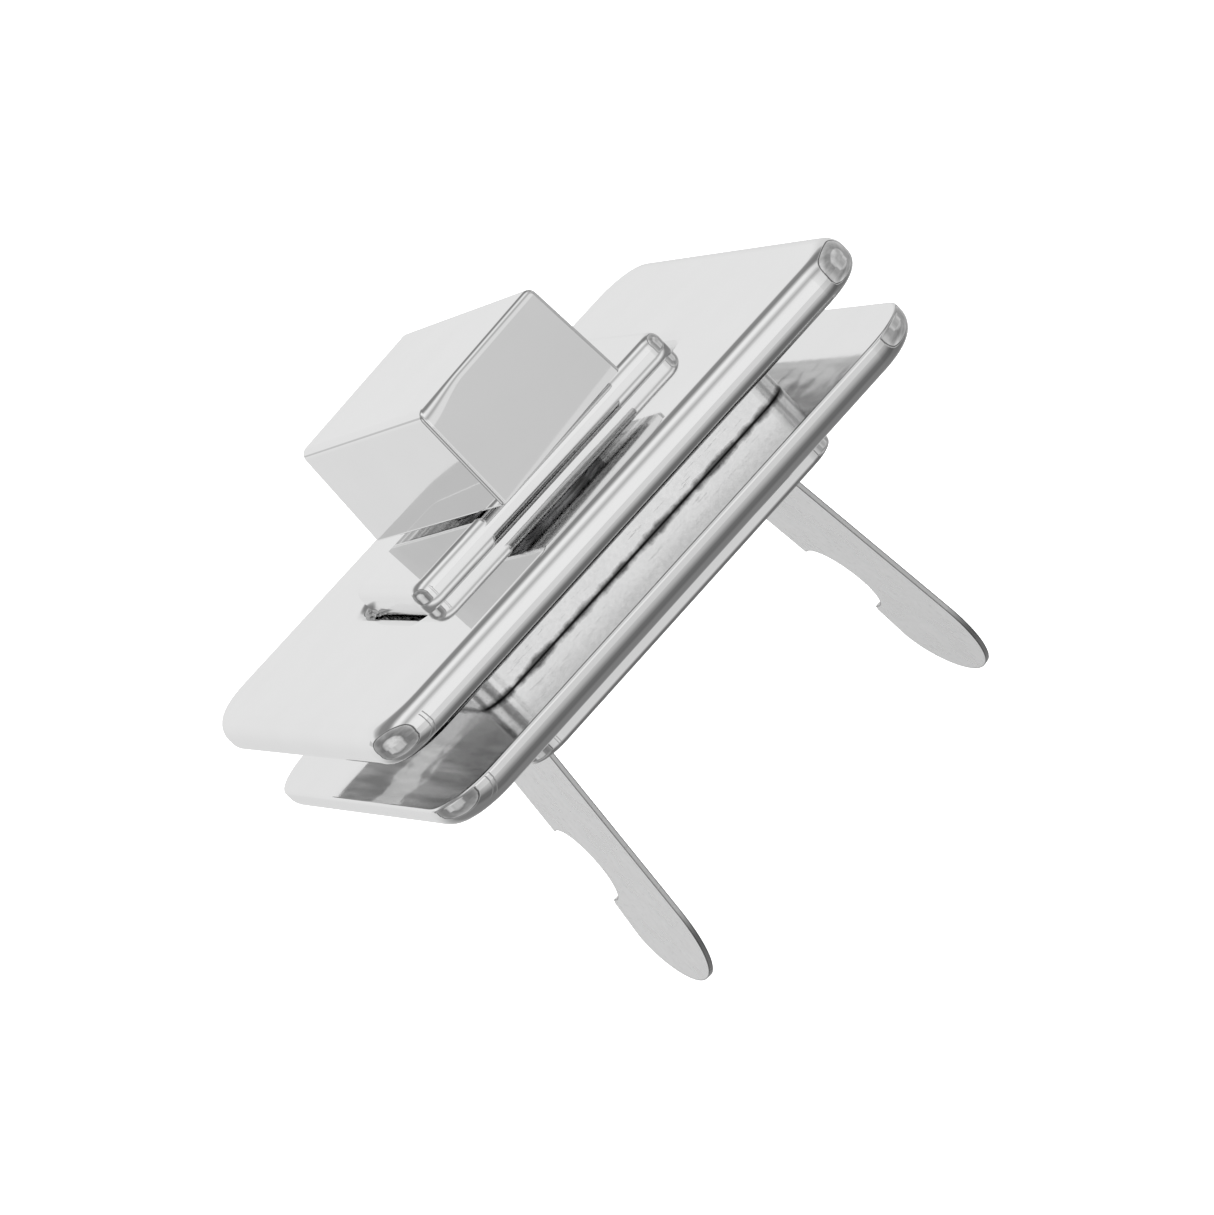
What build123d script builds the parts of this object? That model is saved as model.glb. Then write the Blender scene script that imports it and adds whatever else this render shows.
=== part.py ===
from build123d import *

import os
from math import atan2, cos, degrees, radians, sin

os.makedirs("parts", exist_ok=True)

# Rectangular turn lock for a bag flap, in millimetres.
# The bag half (base plate, housing, prongs) stands on the bag's front panel, and the knob turns on it.
# The flap half (front plate, collar, back frame) clamps the flap and drops over the housing.
# The origin is the centre of the base plate's underside, on the knob's axis.
# +Z points out of the bag towards the knob, and +X runs along the slot's long side.

# ---- flap half ----
PLATE_LENGTH = 37.25
PLATE_WIDTH = 34.4
PLATE_SHIFT = -0.48  # the two plates' outlines stand this far off the slot's middle, along X
PLATE_THICKNESS = 2.4
PLATE_CORNER = 3.4
PLATE_TOP_ROUND = 1.2
PLATE_BOTTOM_ROUND = 0.9
FRAME_WIDTH = 33.9
FRAME_THICKNESS = 1.75
FRAME_CORNER = 3.6
FRAME_TOP_ROUND = 0.2
FRAME_BOTTOM_ROUND = 1.25
FRAME_UNDERSIDE = 2.5  # height of the back frame above the base plate's underside
FLAP_GAP = 3.05  # leather thickness that the two plates take between them
COLLAR_LENGTH = 24.2
COLLAR_WIDTH = 18.6
COLLAR_CORNER = 1.8
SLOT_LENGTH = 20.4
SLOT_WIDTH = 12.8
SLOT_CORNER = 1.5
SLOT_LIP_ROUND = 0.9
BACK_OPENING_EXTRA = 0.6  # the collar's and the back frame's openings are this much larger than the slot

# ---- bag half ----
BASE_LENGTH = 24.4
BASE_WIDTH = 18.0
BASE_THICKNESS = 1.0
BASE_CORNER = 2.0
BASE_EDGE_ROUND = 0.3
HOUSING_LENGTH = 19.9
HOUSING_WIDTH = 12.0
HOUSING_TOP = 11.05
HOUSING_WALL = 1.0
HOUSING_ROOF = 1.2
HOUSING_CORNER = 1.2
HOUSING_EDGE_ROUND = 0.7
BEARING_RADIUS = 4.2
BEARING_BOTTOM = 6.0
SCREW_BOSS_RADIUS = 1.2
SCREW_BOSS_TOP = 3.4
SHEET = 0.3  # thickness of the prong strip and of the detent spring
STRIP_WIDTH = 6.0
PRONG_X = 10.2
PRONG_Y = 2.0  # the prongs stand this far off the middle
PRONG_WIDTH = 10.7
PRONG_LENGTH = 17.0  # from the fold line to the tip
PRONG_SPLAY = 6.0  # degrees outwards from straight down
SLIT_CLEARANCE = 0.2  # each side of the sheet, in the base plate's slits
FOLD_LINE_Z = -1.0
FOLD_GAP = 0.02
# Prong outline, in the plane of the sheet: distances down from the fold line, and across from its middle.
NOTCH_START = 6.3
NOTCH_MIDDLE = 9.0
NOTCH_END = 11.3
NOTCH_DEPTH = 3.4
NOTCH_LIP = 0.75  # at its end the notch is still this deep
LOBE_START = 11.65
LOBE_LIP = 0.45  # the lobe below the notch starts this far inside the prong's edge
TIP_ACROSS = 0.9
NARROW_SHOULDER = 11.6  # where the edge without a notch starts to curve in
LOBE_SHOULDER = 14.0
CARRIER_LENGTH = 12.0
CARRIER_WIDTH = 9.6
CARRIER_THICKNESS = 0.7
CARRIER_TONGUE_WIDTH = 4.4
PEG_RADIUS = 0.4
PEG_X = -3.2
BEND_PEG_RADIUS = 1.2
SPRING_GAP = 7.0  # clear width between the detent spring's legs
SPRING_BEND_X = -4.0
SPRING_TIP_X = 6.0
SPRING_BOTTOM = 3.6
SPRING_TOP = 5.6

# ---- knob and what turns with it ----
KNOB_TURN = 8.5  # degrees short of square across the slot
KNOB_BOTTOM = 11.3
KNOB_HEIGHT = 6.7
KNOB_FOOT_X = 10.3
KNOB_FOOT_Y = 17.5
KNOB_TOP_X = 9.8
KNOB_TOP_Y = 16.8
KNOB_CORNER = 0.25  # of the two end faces
KNOB_TOP_ROUND = 0.55  # of the two long top edges
KNOB_FOOT_ROUND = 0.15
JOURNAL_RADIUS = 2.5
RUNNING_CLEARANCE = 0.05  # radial, journal in bearing
UPPER_SQUARE = 3.5
UPPER_SQUARE_HEIGHT = 3.0
LOWER_SQUARE = 3.3
SPINDLE_BOTTOM = 3.9
SQUARE_FIT = 0.02
CAM_SQUARE = 6.2
CAM_RADIUS = 3.42  # the cam's corners are turned down to this radius
CAM_BOTTOM = 3.95
CAM_TOP = 5.15
WASHER_RADIUS = 4.0
THRUST_BOTTOM = 11.08
THRUST_THICKNESS = 0.2
DISC_OUTER = 3.4
DISC_THICKNESS = 0.2
SCREW_WASHER_RADIUS = 2.9
SCREW_WASHER_BOTTOM = 3.55
KNOB_SCREW_RADIUS = 1.0
KNOB_THREAD_RADIUS = 0.95
KNOB_SCREW_BORE = 1.05
KNOB_SCREW_HEAD_RADIUS = 1.9
KNOB_SCREW_HEAD = 1.05
KNOB_SCREW_TOP = 16.3
HEX_KEY = 1.5
HEX_DEPTH = 0.65

# ---- small fasteners ----
FRAME_SCREW_SPOTS = [(x, y) for x in (-7.5, 7.5) for y in (-8.05, 8.05)]
FRAME_SCREW_RADIUS = 0.7
FRAME_SCREW_HEAD = 1.2
FRAME_SCREW_TOP = 8.7
HOUSING_SCREW_SPOTS = [(x, y) for x in (-7.7, 7.7) for y in (-4.0, 4.0)]
HOUSING_SCREW_RADIUS = 0.58
HOUSING_SCREW_HEAD = 1.1
HOUSING_SCREW_TOP = 3.0
RIVET_SPOTS = [(-3.8, 0), (3.8, 0)]
RIVET_RADIUS = 0.8
RIVET_HEAD = 1.3
RIVET_HEAD_ROUND = 0.22
STRIP_BEND_ROUND = 0.25
HOLE_CLEARANCE = 0.04
COUNTERSINK_ANGLE = 90
RECESS_SPAN = 1.3  # cross recess, as shares of the head's radius
RECESS_WIDTH = 0.25
RECESS_DEPTH = 0.25

# ---- levels worked out from the above ----
FRAME_TOP = FRAME_UNDERSIDE + FRAME_THICKNESS
PLATE_BOTTOM = FRAME_TOP + FLAP_GAP
STRIP_TOP = BASE_THICKNESS + SHEET
CARRIER_TOP = STRIP_TOP + CARRIER_THICKNESS
ROOF_UNDERSIDE = HOUSING_TOP - HOUSING_ROOF
BORE_RADIUS = JOURNAL_RADIUS + RUNNING_CLEARANCE
KNOB_ACROSS = (cos(radians(KNOB_TURN)), sin(radians(KNOB_TURN)), 0)
KNOB_ALONG = (-sin(radians(KNOB_TURN)), cos(radians(KNOB_TURN)), 0)


def level(height):
    """The horizontal plane at this height, square to the base plate."""
    return Plane.XY.offset(height)


def knob_level(height):
    """The horizontal plane at this height, turned with the knob."""
    return Plane(origin=(0, 0, height), x_dir=KNOB_ACROSS, z_dir=(0, 0, 1))


def save(part, name):
    """Labels a finished piece and writes its STEP file."""
    part.label = name
    export_step(part, f"parts/{name}.step")


# ---------------------------------------------------------------- flap half
# Front plate: a thick cast plate with a rolled rim and the slot that the housing comes up through.
with BuildPart() as front_plate:
    with BuildSketch(level(PLATE_BOTTOM)):
        with Locations((PLATE_SHIFT, 0)):
            RectangleRounded(PLATE_LENGTH, PLATE_WIDTH, PLATE_CORNER)
    extrude(amount=PLATE_THICKNESS)
    fillet(front_plate.faces().sort_by(Axis.Z)[-1].edges(), PLATE_TOP_ROUND)
    fillet(front_plate.faces().sort_by(Axis.Z)[0].edges(), PLATE_BOTTOM_ROUND)
    with BuildSketch(level(PLATE_BOTTOM)):
        RectangleRounded(SLOT_LENGTH, SLOT_WIDTH, SLOT_CORNER)
    extrude(amount=PLATE_THICKNESS, mode=Mode.SUBTRACT)
    slot_rim = front_plate.faces().sort_by(Axis.Z)[-1].inner_wires().edges()
    fillet(slot_rim, SLOT_LIP_ROUND)
    with BuildSketch(level(PLATE_BOTTOM)):
        with Locations(*FRAME_SCREW_SPOTS):
            Circle(FRAME_SCREW_RADIUS + HOLE_CLEARANCE / 2)
    extrude(amount=FRAME_SCREW_TOP + HOLE_CLEARANCE - PLATE_BOTTOM, mode=Mode.SUBTRACT)
save(front_plate.part, "front_plate")

# Collar: the spacer tube that lines the hole in the flap and holds the two plates apart.
with BuildPart() as collar:
    with BuildSketch(level(FRAME_TOP)):
        RectangleRounded(COLLAR_LENGTH, COLLAR_WIDTH, COLLAR_CORNER)
        RectangleRounded(
            SLOT_LENGTH + BACK_OPENING_EXTRA, SLOT_WIDTH + BACK_OPENING_EXTRA, SLOT_CORNER, mode=Mode.SUBTRACT
        )
        with Locations(*FRAME_SCREW_SPOTS):
            Circle(FRAME_SCREW_RADIUS + HOLE_CLEARANCE, mode=Mode.SUBTRACT)
    extrude(amount=FLAP_GAP)
save(collar.part, "collar")

# Back frame: the plate behind the flap, with countersunk holes for its four screws.
with BuildPart() as back_frame:
    with BuildSketch(level(FRAME_UNDERSIDE)):
        with Locations((PLATE_SHIFT, 0)):
            RectangleRounded(PLATE_LENGTH, FRAME_WIDTH, FRAME_CORNER)
    extrude(amount=FRAME_THICKNESS)
    fillet(back_frame.faces().sort_by(Axis.Z)[-1].edges(), FRAME_TOP_ROUND)
    fillet(back_frame.faces().sort_by(Axis.Z)[0].edges(), FRAME_BOTTOM_ROUND)
    with BuildSketch(level(FRAME_UNDERSIDE)):
        RectangleRounded(SLOT_LENGTH + BACK_OPENING_EXTRA, SLOT_WIDTH + BACK_OPENING_EXTRA, SLOT_CORNER)
    extrude(amount=FRAME_THICKNESS, mode=Mode.SUBTRACT)
    with Locations(Plane(origin=(0, 0, FRAME_UNDERSIDE), x_dir=(1, 0, 0), z_dir=(0, 0, -1))):
        with Locations(*FRAME_SCREW_SPOTS):
            CounterSinkHole(
                radius=FRAME_SCREW_RADIUS + HOLE_CLEARANCE,
                counter_sink_radius=FRAME_SCREW_HEAD + HOLE_CLEARANCE,
                depth=FRAME_THICKNESS,
                counter_sink_angle=COUNTERSINK_ANGLE,
            )
save(back_frame.part, "back_frame")


def countersunk_screws(spots, underside, top, shank, head):
    """Flush-headed screws pointing up, one solid per spot, each with a cross recess in its head."""
    with BuildPart() as screws:
        with BuildSketch(level(underside)):
            with Locations(*spots):
                Circle(shank)
        extrude(amount=top - underside)
        with Locations(*[(x, y, underside + (head - shank) / 2) for x, y in spots]):
            Cone(bottom_radius=head, top_radius=shank, height=head - shank)
        with BuildSketch(level(underside)):
            with Locations(*spots):
                Rectangle(head * RECESS_SPAN, head * RECESS_WIDTH)
                Rectangle(head * RECESS_WIDTH, head * RECESS_SPAN)
        extrude(amount=head * RECESS_DEPTH, mode=Mode.SUBTRACT)
    return screws.part


# Frame screws: four, up through the back frame and the collar into the front plate.
frame_screws = countersunk_screws(
    FRAME_SCREW_SPOTS, FRAME_UNDERSIDE, FRAME_SCREW_TOP, FRAME_SCREW_RADIUS, FRAME_SCREW_HEAD
)
save(frame_screws, "frame_screws")

# ---------------------------------------------------------------- bag half
# Base plate: lies on the bag's front panel. The prongs come down through its two end slits.
with BuildPart() as base_plate:
    with BuildSketch(level(0)):
        RectangleRounded(BASE_LENGTH, BASE_WIDTH, BASE_CORNER)
    extrude(amount=BASE_THICKNESS)
    fillet(base_plate.faces().sort_by(Axis.Z)[-1].edges(), BASE_EDGE_ROUND)
    fillet(base_plate.faces().sort_by(Axis.Z)[0].edges(), BASE_EDGE_ROUND)
    with BuildSketch(level(0)):
        with Locations((-PRONG_X, PRONG_Y), (PRONG_X, PRONG_Y)):
            Rectangle(SHEET + 2 * SLIT_CLEARANCE, PRONG_WIDTH + 2 * HOLE_CLEARANCE)
        with Locations(*RIVET_SPOTS):
            Circle(RIVET_RADIUS + HOLE_CLEARANCE)
    extrude(amount=BASE_THICKNESS, mode=Mode.SUBTRACT)
    with Locations(Plane(origin=(0, 0, 0), x_dir=(1, 0, 0), z_dir=(0, 0, -1))):
        with Locations(*HOUSING_SCREW_SPOTS):
            CounterSinkHole(
                radius=HOUSING_SCREW_RADIUS + HOLE_CLEARANCE,
                counter_sink_radius=HOUSING_SCREW_HEAD + HOLE_CLEARANCE,
                depth=BASE_THICKNESS,
                counter_sink_angle=COUNTERSINK_ANGLE,
            )
save(base_plate.part, "base_plate")

# Housing: a hollow block, open below, with the knob's bearing hanging from its roof.
with BuildPart() as housing:
    with BuildSketch(level(BASE_THICKNESS)):
        RectangleRounded(HOUSING_LENGTH, HOUSING_WIDTH, HOUSING_CORNER)
    extrude(amount=HOUSING_TOP - BASE_THICKNESS)
    fillet(housing.faces().sort_by(Axis.Z)[-1].edges(), HOUSING_EDGE_ROUND)
    with BuildSketch(level(BASE_THICKNESS)):
        Rectangle(HOUSING_LENGTH - 2 * HOUSING_WALL, HOUSING_WIDTH - 2 * HOUSING_WALL)
    extrude(amount=ROOF_UNDERSIDE - BASE_THICKNESS, mode=Mode.SUBTRACT)
    with BuildSketch(level(BEARING_BOTTOM)):
        Circle(BEARING_RADIUS)
    extrude(amount=ROOF_UNDERSIDE - BEARING_BOTTOM)
    with BuildSketch(level(BASE_THICKNESS)):
        with Locations(*HOUSING_SCREW_SPOTS):
            Circle(SCREW_BOSS_RADIUS)
    extrude(amount=SCREW_BOSS_TOP - BASE_THICKNESS)
    with BuildSketch(level(BASE_THICKNESS)):
        Circle(BORE_RADIUS)
    extrude(amount=HOUSING_TOP - BASE_THICKNESS, mode=Mode.SUBTRACT)
    with BuildSketch(level(BASE_THICKNESS)):
        with Locations(*HOUSING_SCREW_SPOTS):
            Circle(HOUSING_SCREW_RADIUS + HOLE_CLEARANCE / 2)
    extrude(amount=HOUSING_SCREW_TOP + HOLE_CLEARANCE - BASE_THICKNESS, mode=Mode.SUBTRACT)
    with BuildSketch(level(BASE_THICKNESS)):
        Rectangle(HOUSING_LENGTH, STRIP_WIDTH + 2 * HOLE_CLEARANCE)
    extrude(amount=SHEET + HOLE_CLEARANCE, mode=Mode.SUBTRACT)
save(housing.part, "housing")

# Housing screws: four, up through the base plate into the housing's bosses.
housing_screws = countersunk_screws(
    HOUSING_SCREW_SPOTS, 0, HOUSING_SCREW_TOP, HOUSING_SCREW_RADIUS, HOUSING_SCREW_HEAD
)
save(housing_screws, "housing_screws")

# Prong strip: the bridge across the base plate, bent down through the slits as far as the fold lines.
# Its two ends are wider inside the slits than on top of the base plate.
with BuildPart() as prong_strip:
    with BuildSketch(level(BASE_THICKNESS)):
        Rectangle(2 * PRONG_X + SHEET, STRIP_WIDTH)
    extrude(amount=SHEET)
    with BuildSketch(level(FOLD_LINE_Z + SHEET / 2 + FOLD_GAP)):
        with Locations((-PRONG_X, PRONG_Y), (PRONG_X, PRONG_Y)):
            Rectangle(SHEET, PRONG_WIDTH)
    extrude(amount=BASE_THICKNESS - FOLD_LINE_Z - SHEET / 2 - FOLD_GAP)
    outer_bends = prong_strip.faces().sort_by(Axis.Z)[-1].edges().filter_by(Axis.Y).group_by(Axis.X)
    fillet(outer_bends[0] + outer_bends[-1], STRIP_BEND_ROUND)
    with BuildSketch(level(BASE_THICKNESS)):
        with Locations(*RIVET_SPOTS):
            Circle(RIVET_RADIUS + HOLE_CLEARANCE)
    extrude(amount=SHEET, mode=Mode.SUBTRACT)
save(prong_strip.part, "prong_strip")


def prong(side):
    """One bendable leg. Side is -1 at the -X end and +1 at the +X end."""
    splay = radians(PRONG_SPLAY)
    fold_line = (side * PRONG_X, PRONG_Y, FOLD_LINE_Z)
    half = PRONG_WIDTH / 2
    # Local X runs across the prong and local Y runs down it.
    sheet_plane = Plane(origin=fold_line, x_dir=(0, 1, 0), z_dir=(-cos(splay), 0, -side * sin(splay)))
    with BuildPart() as leg:
        with BuildSketch(sheet_plane):
            with BuildLine():
                Polyline((half, NOTCH_START), (half, 0), (-half, 0), (-half, NARROW_SHOULDER))
                EllipticalCenterArc(
                    (TIP_ACROSS, NARROW_SHOULDER),
                    half + TIP_ACROSS,
                    PRONG_LENGTH - NARROW_SHOULDER,
                    start_angle=90,
                    arc_size=90,
                )
                EllipticalCenterArc(
                    (TIP_ACROSS, LOBE_SHOULDER),
                    half - TIP_ACROSS,
                    PRONG_LENGTH - LOBE_SHOULDER,
                    start_angle=0,
                    arc_size=90,
                )
                Polyline((half, LOBE_SHOULDER), (half - LOBE_LIP, LOBE_START), (half - NOTCH_LIP, NOTCH_END))
                ThreePointArc(
                    (half - NOTCH_LIP, NOTCH_END), (half - NOTCH_DEPTH, NOTCH_MIDDLE), (half, NOTCH_START)
                )
            make_face()
        extrude(amount=SHEET / 2, both=True)
        with BuildSketch(Plane(origin=(side * PRONG_X, PRONG_Y - half, FOLD_LINE_Z), z_dir=(0, 1, 0))):
            Circle(SHEET / 2)
        extrude(amount=PRONG_WIDTH)
    return leg.part


prong_left = prong(-1)
save(prong_left, "prong_left")
prong_right = prong(1)
save(prong_right, "prong_right")

# Spring carrier: a stamped plate riveted over the strip, whose pegs hold the detent spring.
bend_inner = SPRING_GAP / 2
bend_peg_x = SPRING_BEND_X - bend_inner + BEND_PEG_RADIUS + HOLE_CLEARANCE
side_peg_y = bend_inner + SHEET + PEG_RADIUS + HOLE_CLEARANCE
with BuildPart() as spring_carrier:
    with BuildSketch(level(STRIP_TOP)):
        Rectangle(CARRIER_LENGTH, CARRIER_WIDTH)
        with Locations((bend_peg_x, 0)):
            Rectangle(2 * BEND_PEG_RADIUS, CARRIER_TONGUE_WIDTH)
        with Locations(*RIVET_SPOTS):
            Circle(RIVET_RADIUS + HOLE_CLEARANCE, mode=Mode.SUBTRACT)
    extrude(amount=CARRIER_THICKNESS)
    with BuildSketch(level(CARRIER_TOP)):
        with Locations((bend_peg_x, 0)):
            Circle(BEND_PEG_RADIUS)
        with Locations((PEG_X, -side_peg_y), (PEG_X, side_peg_y)):
            Circle(PEG_RADIUS)
    extrude(amount=SPRING_TOP - CARRIER_TOP)
    # Ledges that the spring's bottom edge stands on.
    with BuildSketch(level(CARRIER_TOP)):
        with Locations((bend_peg_x, 0)):
            Rectangle(2 * BEND_PEG_RADIUS, 2 * BEND_PEG_RADIUS)
        with Locations((PEG_X, -bend_inner - SHEET / 2), (PEG_X, bend_inner + SHEET / 2)):
            Rectangle(2 * PEG_RADIUS, 2 * SHEET)
    extrude(amount=SPRING_BOTTOM - CARRIER_TOP)
save(spring_carrier.part, "spring_carrier")

# Rivets: two, holding the carrier, the strip and the base plate together.
with BuildPart() as bridge_rivets:
    with BuildSketch(level(0)):
        with Locations(*RIVET_SPOTS):
            Circle(RIVET_RADIUS)
    extrude(amount=CARRIER_TOP)
    with BuildSketch(level(CARRIER_TOP)):
        with Locations(*RIVET_SPOTS):
            Circle(RIVET_HEAD)
    extrude(amount=SHEET)
    fillet(bridge_rivets.edges().group_by(Axis.Z)[-1], RIVET_HEAD_ROUND)
save(bridge_rivets.part, "bridge_rivets")

# Detent spring: a U of spring strip standing on edge. Its two legs press on the cam's flats.
with BuildPart() as detent_spring:
    with BuildSketch(level(SPRING_BOTTOM)):
        with BuildLine():
            Line((SPRING_TIP_X, bend_inner + SHEET / 2), (SPRING_BEND_X, bend_inner + SHEET / 2))
            CenterArc((SPRING_BEND_X, 0), bend_inner + SHEET / 2, 90, 180)
            Line((SPRING_BEND_X, -bend_inner - SHEET / 2), (SPRING_TIP_X, -bend_inner - SHEET / 2))
            offset(amount=SHEET / 2, side=Side.BOTH)
        make_face()
    extrude(amount=SPRING_TOP - SPRING_BOTTOM)
save(detent_spring.part, "detent_spring")

# ---------------------------------------------------------------- knob and what turns with it
# Knob: a block that tapers upwards, with soft long top edges and crisp ends. A square socket takes the
# spindle, and a threaded hole above it takes the knob screw.
knob_foot = (0, 0, KNOB_BOTTOM)
knob_side_view = Plane(origin=knob_foot, x_dir=KNOB_ALONG, z_dir=KNOB_ACROSS)
knob_end_view = Plane(origin=knob_foot, x_dir=[-c for c in KNOB_ACROSS], z_dir=KNOB_ALONG)
with BuildPart() as knob:
    with BuildSketch(knob_side_view):
        taper = degrees(atan2(KNOB_HEIGHT, (KNOB_FOOT_Y - KNOB_TOP_Y) / 2))
        Trapezoid(KNOB_FOOT_Y, KNOB_HEIGHT, taper, align=(Align.CENTER, Align.MIN))
    extrude(amount=KNOB_FOOT_X, both=True)
    with BuildSketch(knob_end_view) as cross_section:
        taper = degrees(atan2(KNOB_HEIGHT, (KNOB_FOOT_X - KNOB_TOP_X) / 2))
        Trapezoid(KNOB_FOOT_X, KNOB_HEIGHT, taper, align=(Align.CENTER, Align.MIN))
        fillet(cross_section.vertices().group_by(Axis.Y)[-1], KNOB_TOP_ROUND)
    extrude(amount=KNOB_FOOT_Y, both=True, mode=Mode.INTERSECT)
    for end in (0, -1):
        end_face = knob.faces().sort_by(Axis(knob_foot, KNOB_ALONG))[end]
        fillet(end_face.edges().sort_by(Axis.Z)[1:], KNOB_CORNER)
    fillet(knob.faces().sort_by(Axis.Z)[0].edges(), KNOB_FOOT_ROUND)
    with BuildSketch(knob_level(KNOB_BOTTOM)):
        Rectangle(UPPER_SQUARE + 2 * SQUARE_FIT, UPPER_SQUARE + 2 * SQUARE_FIT)
    extrude(amount=UPPER_SQUARE_HEIGHT + HOLE_CLEARANCE, mode=Mode.SUBTRACT)
    with BuildSketch(knob_level(KNOB_BOTTOM)):
        Circle(KNOB_THREAD_RADIUS)
    extrude(amount=KNOB_SCREW_TOP + HOLE_CLEARANCE - KNOB_BOTTOM, mode=Mode.SUBTRACT)
save(knob.part, "knob")

# Spindle: a turned pin with a square at each end, bored through for the knob screw.
with BuildPart() as spindle:
    with BuildSketch(knob_level(SPINDLE_BOTTOM)):
        Rectangle(LOWER_SQUARE, LOWER_SQUARE)
    extrude(amount=CAM_TOP - SPINDLE_BOTTOM)
    with BuildSketch(knob_level(CAM_TOP)):
        Circle(JOURNAL_RADIUS)
    extrude(amount=KNOB_BOTTOM - CAM_TOP)
    with BuildSketch(knob_level(KNOB_BOTTOM)):
        Rectangle(UPPER_SQUARE, UPPER_SQUARE)
    extrude(amount=UPPER_SQUARE_HEIGHT)
    with BuildSketch(knob_level(SPINDLE_BOTTOM)):
        Circle(KNOB_SCREW_BORE)
    extrude(amount=KNOB_BOTTOM + UPPER_SQUARE_HEIGHT - SPINDLE_BOTTOM, mode=Mode.SUBTRACT)
save(spindle.part, "spindle")

# Thrust washer: keeps the knob's underside off the housing's top.
with BuildPart() as thrust_washer:
    with BuildSketch(level(THRUST_BOTTOM)):
        Circle(WASHER_RADIUS)
        Circle(BORE_RADIUS, mode=Mode.SUBTRACT)
    extrude(amount=THRUST_THICKNESS)
save(thrust_washer.part, "thrust_washer")

# Disc spring: a shallow cone between the cam and the bearing that takes up end play.
with BuildPart() as disc_spring:
    with BuildSketch(Plane.XZ):
        with BuildLine():
            Polyline(
                (BORE_RADIUS, BEARING_BOTTOM - HOLE_CLEARANCE),
                (BORE_RADIUS, BEARING_BOTTOM - HOLE_CLEARANCE - DISC_THICKNESS),
                (DISC_OUTER, CAM_TOP + HOLE_CLEARANCE),
                (DISC_OUTER, CAM_TOP + HOLE_CLEARANCE + DISC_THICKNESS),
                close=True,
            )
        make_face()
    revolve(axis=Axis.Z)
save(disc_spring.part, "disc_spring")

# Detent cam: a square plate with turned-down corners, driven by the spindle's lower square.
with BuildPart() as detent_cam:
    with BuildSketch(knob_level(CAM_BOTTOM)):
        Rectangle(CAM_SQUARE, CAM_SQUARE)
        Circle(CAM_RADIUS, mode=Mode.INTERSECT)
        Rectangle(LOWER_SQUARE + 2 * SQUARE_FIT, LOWER_SQUARE + 2 * SQUARE_FIT, mode=Mode.SUBTRACT)
    extrude(amount=CAM_TOP - CAM_BOTTOM)
save(detent_cam.part, "detent_cam")

# Screw washer: holds the cam up on its square.
with BuildPart() as screw_washer:
    with BuildSketch(level(SCREW_WASHER_BOTTOM)):
        Circle(SCREW_WASHER_RADIUS)
        Circle(KNOB_SCREW_BORE, mode=Mode.SUBTRACT)
    extrude(amount=SPINDLE_BOTTOM - SCREW_WASHER_BOTTOM)
save(screw_washer.part, "screw_washer")

# Knob screw: up through the spindle into the knob, with a hexagon socket in its head.
with BuildPart() as knob_screw:
    with BuildSketch(knob_level(SCREW_WASHER_BOTTOM)):
        Circle(KNOB_SCREW_RADIUS)
    extrude(amount=KNOB_SCREW_TOP - SCREW_WASHER_BOTTOM)
    with BuildSketch(knob_level(SCREW_WASHER_BOTTOM - KNOB_SCREW_HEAD)):
        Circle(KNOB_SCREW_HEAD_RADIUS)
    extrude(amount=KNOB_SCREW_HEAD)
    with BuildSketch(knob_level(SCREW_WASHER_BOTTOM - KNOB_SCREW_HEAD)):
        RegularPolygon(HEX_KEY / 2, 6, major_radius=False)
    extrude(amount=HEX_DEPTH, mode=Mode.SUBTRACT)
save(knob_screw.part, "knob_screw")
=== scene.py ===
from math import cos, pi, radians, sin

import bpy
from mathutils import Matrix, Vector


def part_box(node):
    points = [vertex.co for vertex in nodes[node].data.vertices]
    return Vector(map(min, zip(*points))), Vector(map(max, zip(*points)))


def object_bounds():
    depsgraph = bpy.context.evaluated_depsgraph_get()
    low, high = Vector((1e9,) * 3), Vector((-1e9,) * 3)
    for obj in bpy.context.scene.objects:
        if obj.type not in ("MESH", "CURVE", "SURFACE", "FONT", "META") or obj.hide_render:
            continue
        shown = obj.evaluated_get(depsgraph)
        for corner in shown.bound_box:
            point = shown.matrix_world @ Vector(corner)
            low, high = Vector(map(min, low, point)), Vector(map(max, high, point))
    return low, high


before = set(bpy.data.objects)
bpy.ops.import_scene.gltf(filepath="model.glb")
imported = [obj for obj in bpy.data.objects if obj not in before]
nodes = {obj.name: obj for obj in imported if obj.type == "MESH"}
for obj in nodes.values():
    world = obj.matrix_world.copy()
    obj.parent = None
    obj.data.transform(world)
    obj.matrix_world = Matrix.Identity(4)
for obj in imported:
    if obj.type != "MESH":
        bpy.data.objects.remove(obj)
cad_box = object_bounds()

# A bag turn lock in bright nickel, in a white light tent. Lengths are in metres.
MM = 0.001

# ---- camera ----
CAMERA_AZIMUTH = 13.15  # degrees that it looks to the right of +Y
CAMERA_ELEVATION = 13.86
CAMERA_ROLL = 44.66  # clockwise, so that the lock stands tilted to the left
CAMERA_DISTANCE = 324.5 * MM
CAMERA_TARGET = Vector((-1.91, -1.66, 1.48)) * MM
CAMERA_LENS = 176.5
CAMERA_SENSOR = 36.0

MIRROR_BOUNCES = 12  # so that light gets out of the narrow gap under the knob

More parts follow.
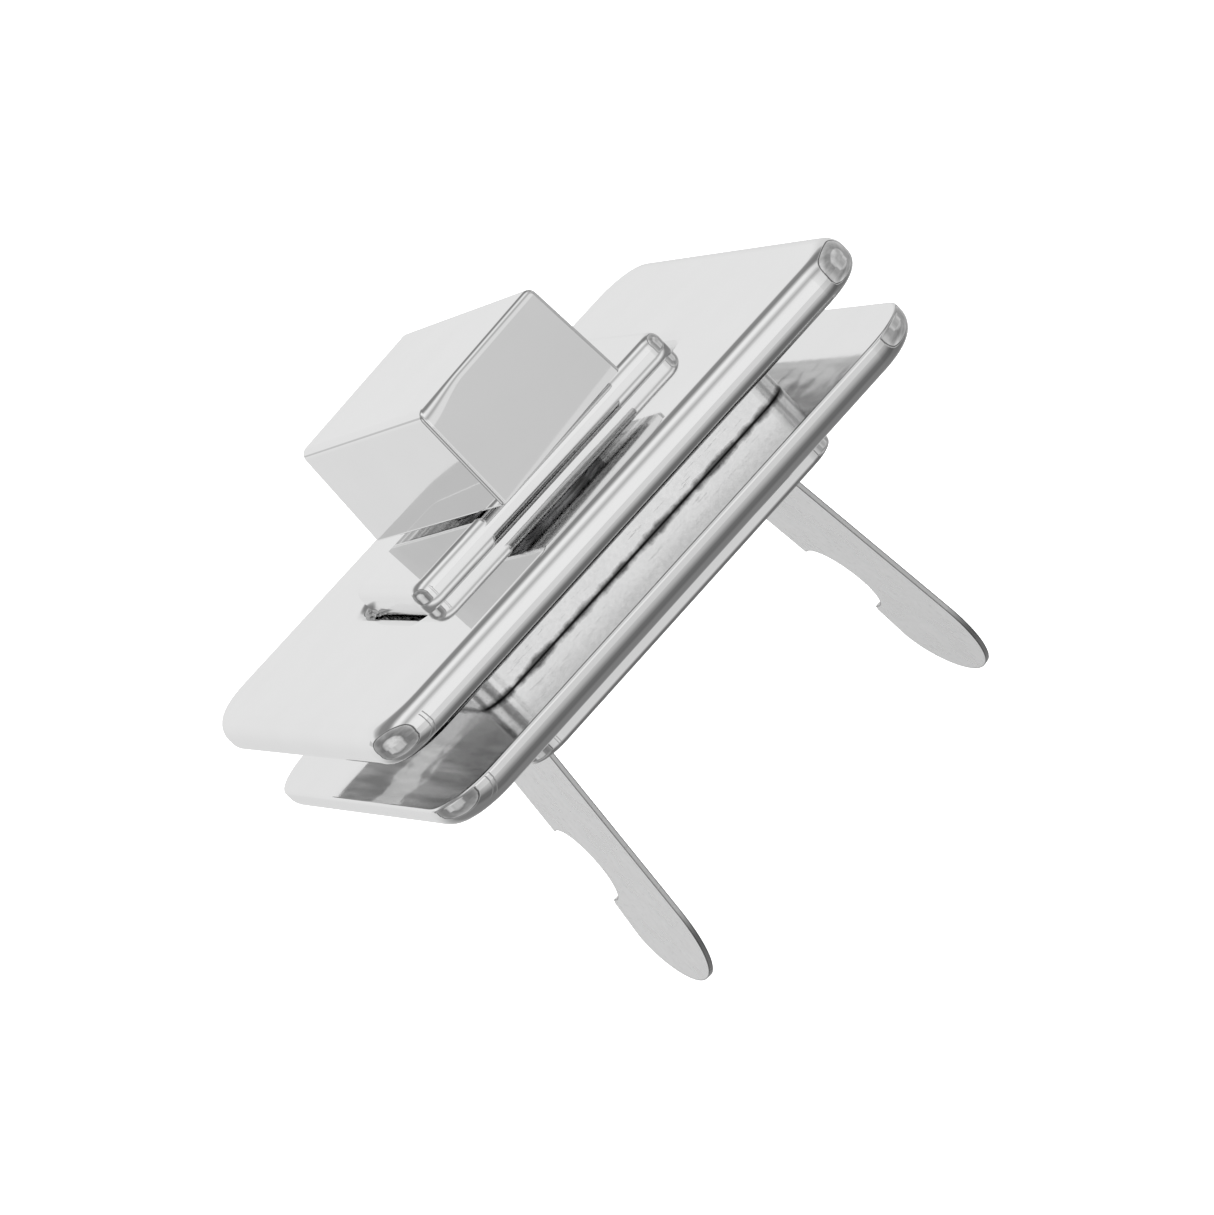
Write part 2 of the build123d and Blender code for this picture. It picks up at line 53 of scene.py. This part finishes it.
# ---- marks and painted shade on the metal; lengths in millimetres, in the lock's own frame ----
KNOB_TURN = 8.5  # degrees that the knob stands turned about Z at rest
KNOB_ROLL = 0.5  # how far down each end face rolls over at its top
KNOB_ROLL_AT_CORNER = 1.1
KNOB_ROLL_GROWS = (-1.5, -4.9)  # across the knob, where the roll starts to grow and where it is full
RIM_LINE = 0.15  # width of the painted dark line of shade along the prongs' sheared edges
FRAME_RIM_LINE = 0.16  # and along the back frame's top edge
# how dark the painted shade along the sharp edges is
PAINTED_EDGE_SHADE = 0.12
CAST_EDGE = (-8.5, -7.0)  # Y at which the front plate's underside stops being polished
CAST_EDGE_RAGGED = 1.6
LIGHT_BAND = (4.0, 9.5)  # Y of a lighter band on that underside
LIGHT_END = (14.6, 16.2)  # X from which it is lighter too
NOISE_RANGE = (0.3, 0.7)
PLATE_CAST = (0.05, 0.32)  # the dark and light shade of the front plate's underside
PLATE_CAST_LIGHTER = (0.52, 0.74)
PLATE_CAST_ROUGHNESS = 0.24
PLATE_STREAKS = (1.6, 0.12)  # how many streaks there are per millimetre, along X and Y
KNOB_CAST = (0.30, 0.88)
KNOB_CAST_ROUGHNESS = 0.08
KNOB_STREAKS = (0.05, 2.4)
PAINTED_FOOT_SHADE = (0.10, 0.34)  # heights over which the painted shade at the collar's foot fades out
PAINTED_FOOT_SHADE_RAGGED = 0.12
CONTACT_SHADOW = (0.03, 0.10)  # heights over which the painted black contact shadow fades out

# ---- floor and light ----
FLOOR_GAP = 1.5 * MM  # under the prongs' tips
FLOOR_SIZE = 6.0
FLOOR_ROUGHNESS = 0.9
FLOOR_GLOW = 0.8
KEY_SIZE = 0.9
KEY_HEIGHT = 0.45
KEY_POWER = 3.0

# The light tent, as (degrees round the X axis, brightness). The sweep starts straight down, and goes by the far
# horizon at 90, straight up at 180 and the near horizon at 270, back to straight down at 360.
TENT = [
    (0, 0.21),
    (24, 0.21),
    (44, 0.23),
    (60, 0.50),
    (72, 0.72),
    (90, 0.78),
    (104, 0.81),
    (122, 0.80),
    (130, 0.42),
    (138, 0.26),
    (154, 0.24),
    (162, 0.28),
    (170, 0.50),
    (178, 0.82),
    (186, 0.90),
    (194, 0.86),
    (204, 0.63),
    (214, 0.46),
    (224, 0.60),
    (234, 0.82),
    (246, 0.87),
    (272, 0.87),
    (284, 0.68),
    (304, 0.38),
    (324, 0.16),
    (344, 0.14),
    (360, 0.21),
]
# The tent's brightness from its left side to its right side, as (x of the direction, factor).
TENT_SIDES = [(-1.0, 0.90), (-0.45, 1.0), (0.30, 1.0), (0.48, 0.86), (0.70, 0.80), (1.0, 0.85)]
# The two ends of the tent, where the sweep runs together: (x of the direction, brightness), with dark seams.
TENT_ENDS = [
    (-1.0, 0.62),
    (-0.93, 0.55),
    (-0.90, 0.22),
    (-0.72, 0.34),
    (-0.655, 0.50),
    (-0.65, 0.12),
    (-0.62, 0.12),
    (-0.60, 0.75),
    (0.60, 0.80),
    (0.62, 0.12),
    (0.645, 0.12),
    (0.65, 0.62),
    (0.80, 0.38),
    (0.91, 0.30),
    (0.93, 0.55),
    (1.0, 0.50),
]
TENT_END_START = 0.60
TENT_EDGE = 0.01  # half of the width over which the tent's ends begin
TENT_UNEVENNESS = 0.005  # as a share of the whole sweep
# Seams on the near side of the tent, as the x of the direction and half of its width.
NEAR_SEAMS = [(-0.10, 0.022), (-0.24, 0.022)]
NEAR_SEAM_START = 236  # degrees of sweep
NEAR_SEAM_SHADE = 0.25
# A grey card low at the far left, as low and high x and low and high degrees of sweep.
CARD_X = (-0.62, -0.43)
CARD_SWEEP = (97, 112)
CARD_FACTOR = 0.70
CARD_EDGES = (0.03, 2)  # how softly its sides end, in x and in degrees of sweep


class Shader:
    """Adds nodes to one node tree and wires them up."""

    def __init__(self, tree):
        self.tree = tree
        tree.nodes.clear()

    def add(self, kind, inputs=None, **settings):
        """Makes a node. Inputs holds values or sockets, by input name or number."""
        node = self.tree.nodes.new("ShaderNode" + kind)
        for name, value in settings.items():
            setattr(node, name, value)
        for name, value in (inputs or {}).items():
            self.plug(value, node.inputs[name])
        return node

    def plug(self, value, socket):
        if isinstance(value, bpy.types.NodeSocket):
            self.tree.links.new(value, socket)
        else:
            socket.default_value = value

    def math(self, operation, a, b=0.0, c=0.0, clamp=False):
        return self.add("Math", {0: a, 1: b, 2: c}, operation=operation, use_clamp=clamp).outputs[0]

    def vector(self, operation, a, b=(0, 0, 0)):
        return self.add("VectorMath", {0: a, 1: b}, operation=operation).outputs[0]

    def dot(self, a, b):
        return self.add("VectorMath", {0: a, 1: b}, operation="DOT_PRODUCT").outputs["Value"]

    def scale(self, a, factor):
        return self.add("VectorMath", {0: a, "Scale": factor}, operation="SCALE").outputs[0]

    def span(self, value, low, high, out_low=0.0, out_high=1.0, smooth=False):
        """Maps low..high onto out_low..out_high, and holds the end values outside."""
        kind = "SMOOTHSTEP" if smooth else "LINEAR"
        inputs = {0: value, 1: low, 2: high, 3: out_low, 4: out_high}
        return self.add("MapRange", inputs, interpolation_type=kind).outputs[0]

    def spread(self, noise, out_low=0.0, out_high=1.0):
        """Maps a noise, by the range that it mostly keeps to, onto out_low..out_high."""
        return self.span(noise, *NOISE_RANGE, out_low, out_high)

    def mix(self, factor, a, b):
        """Mixes two plain numbers."""
        return self.add("Mix", {0: factor, 2: a, 3: b}).outputs[0]

    def mix_color(self, factor, a, b, blend="MIX"):
        node = self.add("Mix", {0: factor}, data_type="RGBA", blend_type=blend)
        self.plug(a, node.inputs[6])
        self.plug(b, node.inputs[7])
        return node.outputs[2]

    def ramp(self, value, stops):
        """A grey ramp of (position, brightness) stops."""
        node = self.add("ValToRGB", {0: value})
        ramp = node.color_ramp
        while len(ramp.elements) < len(stops):
            ramp.elements.new(0.5)
        for element, (position, shade) in zip(ramp.elements, stops):
            element.position = position
            element.color = grey(shade)
        return node.outputs[0]

    def bump(self, strength, distance, height, normal=None):
        """A normal pushed about by a height from 0 to 1. Distance is in millimetres."""
        inputs = {"Strength": strength, "Distance": distance * MM, "Height": height}
        if normal is not None:
            inputs["Normal"] = normal
        return self.add("Bump", inputs).outputs[0]

    def noise(self, vector, scale, detail=2.0, roughness=0.5):
        inputs = {"Vector": vector, "Scale": scale, "Detail": detail, "Roughness": roughness}
        return self.add("TexNoise", inputs).outputs["Fac"]


def grey(shade):
    """A neutral colour."""
    return (shade, shade, shade, 1)


def inside(s, value, limits, edge):
    """A soft-edged mask of the values between two limits."""
    low, high = limits
    return s.math("MULTIPLY", s.span(value, low, low + edge), s.span(value, high, high - edge))


# ---------------------------------------------------------------- studio
def light_tent():
    """A white tent with a few dark gaps, seen in the metal. The camera itself sees plain white."""
    world = bpy.data.worlds.new("light_tent")
    world.use_nodes = True
    bpy.context.scene.world = world
    s = Shader(world.node_tree)
    direction = s.add("TexCoord").outputs["Generated"]
    x, y, z = s.add("SeparateXYZ", {0: direction}).outputs
    away = s.math("MULTIPLY", y, -1.0)
    turn = s.math("DIVIDE", s.math("ARCTAN2", away, z), 2 * pi)
    unevenness = s.spread(s.noise(direction, 1.6), -TENT_UNEVENNESS, TENT_UNEVENNESS)
    sweep = s.math("ADD", s.math("ADD", turn, 0.5), unevenness)
    wall = s.ramp(sweep, [(angle / 360, level) for angle, level in TENT])
    side = s.ramp(s.span(x, -1, 1), [((position + 1) / 2, level) for position, level in TENT_SIDES])
    shade = s.mix_color(1.0, wall, side, blend="MULTIPLY")
    near = s.math("GREATER_THAN", sweep, NEAR_SEAM_START / 360)
    for position, half in NEAR_SEAMS:
        off = s.math("ABSOLUTE", s.math("SUBTRACT", x, position))
        seam = s.math("MULTIPLY", s.span(off, half, half / 2), near)
        shade = s.mix_color(seam, shade, grey(NEAR_SEAM_SHADE))
    card_height = inside(s, sweep, [angle / 360 for angle in CARD_SWEEP], CARD_EDGES[1] / 360)
    card = s.math("MULTIPLY", inside(s, x, CARD_X, CARD_EDGES[0]), card_height)
    shade = s.mix_color(card, shade, s.mix_color(1.0, shade, grey(CARD_FACTOR), blend="MULTIPLY"))
    end_shade = s.ramp(s.span(x, -1, 1), [((position + 1) / 2, level) for position, level in TENT_ENDS])
    stain = s.span(s.noise(direction, 2.5, detail=3.0), 0.35, 0.65, 0.7, 1.15)
    end_shade = s.mix_color(1.0, end_shade, stain, blend="MULTIPLY")
    ends = s.span(s.math("ABSOLUTE", x), TENT_END_START - TENT_EDGE, TENT_END_START + TENT_EDGE)
    shade = s.mix_color(ends, shade, end_shade)
    tent = s.add("Background", {0: shade, 1: 1.0}).outputs[0]
    plain = s.add("Background", {0: grey(1), 1: 1.0}).outputs[0]
    seen = s.add("LightPath").outputs["Is Camera Ray"]
    shader = s.add("MixShader", {0: seen, 1: tent, 2: plain}).outputs[0]
    s.add("OutputWorld", {0: shader})


def floor(height):
    """A plain pale floor. The metal reflects the tent instead of it."""
    bpy.ops.mesh.primitive_plane_add(size=FLOOR_SIZE, location=(0, 0, height))
    plane = bpy.context.object
    plane.name = "floor"
    plane.visible_glossy = False
    material = bpy.data.materials.new("floor_white")
    material.use_nodes = True
    s = Shader(material.node_tree)
    cloud = s.noise(s.add("NewGeometry").outputs["Position"], 3.0)
    shade = s.mix_color(cloud, grey(0.93), grey(0.95))
    inputs = {"Base Color": shade, "Roughness": FLOOR_ROUGHNESS}
    inputs.update({"Emission Color": grey(1), "Emission Strength": FLOOR_GLOW})
    s.add("OutputMaterial", {0: s.add("BsdfPrincipled", inputs).outputs[0]})
    plane.data.materials.append(material)


def key_light():
    """One wide, soft light overhead."""
    light = bpy.data.lights.new("key", "AREA")
    light.shape = "DISK"
    light.size = KEY_SIZE
    light.energy = KEY_POWER
    lamp = bpy.data.objects.new("key", light)
    lamp.location = (0, 0, KEY_HEIGHT)
    lamp.visible_glossy = False
    bpy.context.scene.collection.objects.link(lamp)


def camera():
    """A long lens at the angle the lock is shown from."""
    azimuth, elevation = radians(CAMERA_AZIMUTH), radians(CAMERA_ELEVATION)
    back = Vector((-sin(azimuth) * cos(elevation), -cos(azimuth) * cos(elevation), sin(elevation)))
    level_right = Vector((cos(azimuth), -sin(azimuth), 0))
    level_up = back.cross(level_right)
    roll = radians(CAMERA_ROLL)
    right = level_right * cos(roll) - level_up * sin(roll)
    up = back.cross(right)
    data = bpy.data.cameras.new("camera")
    data.sensor_fit = "HORIZONTAL"
    data.sensor_width = CAMERA_SENSOR
    data.lens = CAMERA_LENS
    data.clip_start = 0.01
    data.clip_end = 10
    view = bpy.data.objects.new("camera", data)
    view.matrix_world = Matrix.Translation(CAMERA_TARGET + back * CAMERA_DISTANCE) @ Matrix(
        (right, up, back)
    ).transposed().to_4x4()
    bpy.context.scene.collection.objects.link(view)
    bpy.context.scene.camera = view


# ---------------------------------------------------------------- materials
def new_shader(name):
    material = bpy.data.materials.new(name)
    material.use_nodes = True
    return material, Shader(material.node_tree)


def rest_position(s):
    """The point on the piece in its own frame, in millimetres, so that the pattern moves with the piece."""
    return s.scale(s.add("TexCoord").outputs["Object"], 1 / MM)


def finish_metal(s, color, roughness, normal):
    inputs = {"Metallic": 1.0, "Base Color": color, "Roughness": roughness, "Normal": normal}
    s.add("OutputMaterial", {0: s.add("BsdfPrincipled", inputs).outputs[0]})


def scratches(s, place, direction, spacing, amount):
    """Fine broken lines along one direction, as a height from 0 to 1."""
    turned = s.add("Mapping", {"Vector": place, "Rotation": direction, "Scale": (0.15, 2.5, 2.5)}).outputs[0]
    lines = s.noise(turned, 1 / spacing, detail=3.0, roughness=0.7)
    return s.span(lines, 0.62, 0.62 + amount)


def polished_nickel(name, shade, seed, waviness=1.0, shape=None, unpolished=None, rim=None):
    """Bright nickel plate on a polished casting: nearly a mirror, with soft waves and a few hairlines.

    Shape makes the surface's normal. Unpolished makes a mask of what was left as cast, with its colour and
    roughness. Rim is the width of a painted dark line of shade along the sharp edges.
    """
    material, s = new_shader(name)
    place = s.vector("ADD", rest_position(s), (seed, seed * 1.7, seed * 2.3))
    normal = shape(s) if shape else s.add("NewGeometry").outputs["Normal"]
    cloud = s.noise(place, 0.25, detail=3.0)
    color = s.mix_color(cloud, grey(shade - 0.02), grey(shade + 0.02))
    hairline = scratches(s, place, (0.2, 0.1, radians(37) + seed), 0.25, 0.2)
    roughness = s.math("ADD", s.spread(cloud, 0.03, 0.06), s.math("MULTIPLY", hairline, 0.05))
    if unpolished:
        bare, cast, bare_roughness = unpolished(s)
        color = s.mix_color(bare, color, cast)
        roughness = s.mix(bare, roughness, bare_roughness)
    if rim:
        # painted shade: a thin dark line along the sharp edges
        color = painted_edge_shade(s, color, rim)
    waves = s.bump(0.10 * waviness, 0.05, s.noise(place, 0.22), normal)
    finish_metal(s, color, roughness, s.bump(0.02, 0.01, hairline, waves))
    return material


def painted_edge_shade(s, color, width):
    """Paints shade in a thin dark line along the sharp edges."""
    true_normal = s.add("NewGeometry").outputs["Normal"]
    rounded = s.add("Bevel", {"Radius": width * MM}, samples=8).outputs[0]
    rim = s.math("SUBTRACT", 1.0, s.dot(true_normal, rounded))
    return s.mix_color(s.span(rim, 0.01, 0.12), color, grey(PAINTED_EDGE_SHADE))


def underside(s):
    """A mask of the faces that look down."""
    upright = s.add("SeparateXYZ", {0: s.add("TexCoord").outputs["Normal"]}).outputs[2]
    return s.span(upright, -0.98, -0.9, 1.0, 0.0)


def streaks(s, place, size):
    """Drawn marks of a casting left unpolished, from 0 to 1. Size is how often they come, along X and Y."""
    drawn = s.add("Mapping", {"Vector": place, "Scale": size + (1.0,)}).outputs[0]
    return s.span(s.noise(drawn, 1.0, detail=3.0), 0.35, 0.65)


def plate_underside(s):
    """The front plate's underside: as cast behind the near rim, with a lighter band and a lighter end."""
    place = rest_position(s)
    x, y, _ = s.add("SeparateXYZ", {0: place}).outputs
    ragged = s.spread(s.noise(place, 0.7, detail=4.0), -CAST_EDGE_RAGGED, CAST_EDGE_RAGGED)
    across = s.math("ADD", y, ragged)
    along = s.math("ADD", x, ragged)
    bare = s.math("MULTIPLY", underside(s), s.span(across, *CAST_EDGE))
    marks = streaks(s, place, PLATE_STREAKS)
    light = s.math("MAXIMUM", inside(s, across, LIGHT_BAND, 0.8), s.span(along, *LIGHT_END))
    dark, pale = (s.mix_color(marks, grey(low), grey(high)) for low, high in (PLATE_CAST, PLATE_CAST_LIGHTER))
    return bare, s.mix_color(light, dark, pale), PLATE_CAST_ROUGHNESS


def knob_underside(s):
    """The knob's underside, drawn along the slot."""
    marks = streaks(s, rest_position(s), KNOB_STREAKS)
    low, high = KNOB_CAST
    return underside(s), s.mix_color(marks, grey(low), grey(high)), KNOB_CAST_ROUGHNESS


def knob_roll(s):
    """The knob's normal, with each end face rolling over softly into the top, most at one corner."""
    turn = radians(KNOB_TURN)
    place = rest_position(s)
    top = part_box("knob")[1].z / MM
    normal = s.add("TexCoord").outputs["Normal"]
    nx, ny, _ = s.add("SeparateXYZ", {0: normal}).outputs
    outward = s.vector("NORMALIZE", s.add("CombineXYZ", {0: nx, 1: ny}).outputs[0])
    facing_end = s.span(s.math("ABSOLUTE", s.dot(outward, (-sin(turn), cos(turn), 0))), 0.75, 0.95)
    across = s.dot(place, (cos(turn), sin(turn), 0))
    height = s.add("SeparateXYZ", {0: place}).outputs[2]
    roll = s.span(across, *KNOB_ROLL_GROWS, KNOB_ROLL, KNOB_ROLL_AT_CORNER, smooth=True)
    risen = s.math("DIVIDE", s.math("SUBTRACT", height, s.math("SUBTRACT", top, roll)), roll, clamp=True)
    level = s.math("SQRT", s.math("SUBTRACT", 1.0, s.math("MULTIPLY", risen, risen)))
    up = s.add("CombineXYZ", {2: risen}).outputs[0]
    rolled = s.vector("ADD", s.scale(outward, level), up)
    blend = s.add("Mix", {0: facing_end}, data_type="VECTOR")
    s.plug(normal, blend.inputs[4])
    s.plug(rolled, blend.inputs[5])
    spaces = {"convert_from": "OBJECT", "convert_to": "WORLD"}
    return s.add("VectorTransform", {0: blend.outputs[1]}, vector_type="NORMAL", **spaces).outputs[0]


def cast_zinc():
    """The collar's unpolished wall: grainy and scratched, with painted shade and a painted black contact shadow
    where it meets the plates.
    """
    material, s = new_shader("grainy_zinc")
    place = rest_position(s)
    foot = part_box("collar")[0].z / MM
    height = s.add("SeparateXYZ", {0: place}).outputs[2]
    grain = s.noise(place, 3.2, detail=5.0, roughness=0.65)
    blotch = s.noise(place, 0.5, detail=3.0)
    ragged = s.spread(s.noise(place, 0.9, detail=5.0, roughness=0.65), -PAINTED_FOOT_SHADE_RAGGED, PAINTED_FOOT_SHADE_RAGGED)
    above = s.math("SUBTRACT", height, foot)
    # painted shade: the collar's foot darkens towards the plate it stands on, with a ragged top edge
    painted_foot_shade = s.span(s.math("ADD", above, ragged), *PAINTED_FOOT_SHADE)
    # painted shadow: a black line at the very foot, where the collar meets the plate
    contact_shadow = s.span(above, *CONTACT_SHADOW)
    color = s.mix_color(s.spread(grain), grey(0.86), grey(0.98))
    color = s.mix_color(s.span(blotch, 0.35, 0.7, 0.0, 0.25), color, (0.76, 0.76, 0.77, 1))
    # the painted contact shadow and the painted shade are laid over the grainy colour
    color = s.mix_color(contact_shadow, grey(0.01), s.mix_color(painted_foot_shade, grey(0.14), color))
    cuts = scratches(s, place, (radians(18), radians(74), radians(12)), 0.35, 0.08)
    roughness = s.spread(grain, 0.12, 0.20)
    finish_metal(s, color, roughness, s.bump(0.3, 0.02, cuts, s.bump(0.25, 0.03, grain)))
    return material


def satin_sheet():
    """The prongs' satin plated sheet: faintly cloudy, with handling marks, darker sheared edges and a painted
    dark line of shade along the sharp edges.
    """
    material, s = new_shader("satin_sheet")
    place = rest_position(s)
    cloud = s.noise(place, 0.45, detail=4.0, roughness=0.6)
    speck = s.noise(place, 2.6, detail=3.0)
    across = s.math("ABSOLUTE", s.dot(s.add("NewGeometry").outputs["Normal"], (1, 0, 0)))
    face = s.span(across, 0.5, 0.9)
    color = s.mix_color(s.spread(cloud), grey(0.76), grey(0.93))
    color = s.mix_color(s.span(speck, 0.58, 0.75, 0.0, 0.5), color, grey(0.62))
    color = s.mix_color(face, grey(0.66), color)
    # painted shade: a thin dark line along the sharp edges
    color = painted_edge_shade(s, color, RIM_LINE)
    marks = scratches(s, place, (radians(35), 0, radians(10)), 0.3, 0.1)
    roughness = s.math("ADD", s.spread(cloud, 0.24, 0.34), s.math("MULTIPLY", marks, 0.1))
    finish_metal(s, color, roughness, s.bump(0.25, 0.02, s.math("ADD", cloud, marks)))
    return material


def turned_metal(name, dark, light, roughness=0.25):
    """Turned or rolled metal inside the lock: rings round the upright axis, and small colour changes."""
    material, s = new_shader(name)
    place = rest_position(s)
    cloud = s.noise(place, 0.8, detail=4.0)
    x, y, z = s.add("SeparateXYZ", {0: place}).outputs
    radius = s.math("SQRT", s.math("ADD", s.math("POWER", x, 2.0), s.math("POWER", y, 2.0)))
    rings = s.noise(s.add("CombineXYZ", {0: radius, 1: z}).outputs[0], 9.0, detail=2.0)
    color = s.mix_color(s.spread(cloud), dark + (1,), light + (1,))
    rough = s.spread(rings, roughness - 0.06, roughness + 0.08)
    finish_metal(s, color, rough, s.bump(0.25, 0.01, rings))
    return material


def dress_nodes():
    """Gives each CAD node its finish."""
    screw = turned_metal("screw_steel", (0.55, 0.55, 0.56), (0.70, 0.70, 0.72))
    stamped = turned_metal("stamped_steel", (0.50, 0.50, 0.51), (0.64, 0.64, 0.65), roughness=0.32)
    spring = turned_metal("spring_steel", (0.20, 0.22, 0.28), (0.34, 0.35, 0.40), roughness=0.3)
    brass = turned_metal("turned_brass", (0.66, 0.50, 0.26), (0.82, 0.66, 0.38))
    sheet = satin_sheet()
    finishes = {
        "front_plate": polished_nickel("plate_nickel", 0.92, 3.1, unpolished=plate_underside),
        "back_frame": polished_nickel("frame_nickel", 0.90, 7.7, waviness=1.4, rim=FRAME_RIM_LINE),
        "base_plate": polished_nickel("base_nickel", 0.90, 1.9),
        "housing": polished_nickel("housing_nickel", 0.92, 5.3),
        "knob": polished_nickel("knob_nickel", 0.93, 9.2, shape=knob_roll, unpolished=knob_underside),
        "collar": cast_zinc(),
        "prong_left": sheet,
        "prong_right": sheet,
        "prong_strip": sheet,
        "spring_carrier": stamped,
        "detent_cam": stamped,
        "detent_spring": spring,
        "disc_spring": spring,
        "spindle": brass,
        "thrust_washer": stamped,
        "bridge_rivets": brass,
        "frame_screws": screw,
        "housing_screws": screw,
        "screw_washer": screw,
        "knob_screw": screw,
    }
    for name, material in finishes.items():
        nodes[name].material_slots[0].material = material


bpy.context.scene.view_settings.view_transform = "Standard"
bpy.context.scene.cycles.glossy_bounces = MIRROR_BOUNCES
light_tent()
floor(cad_box[0].z - FLOOR_GAP)
key_light()
camera()
dress_nodes()
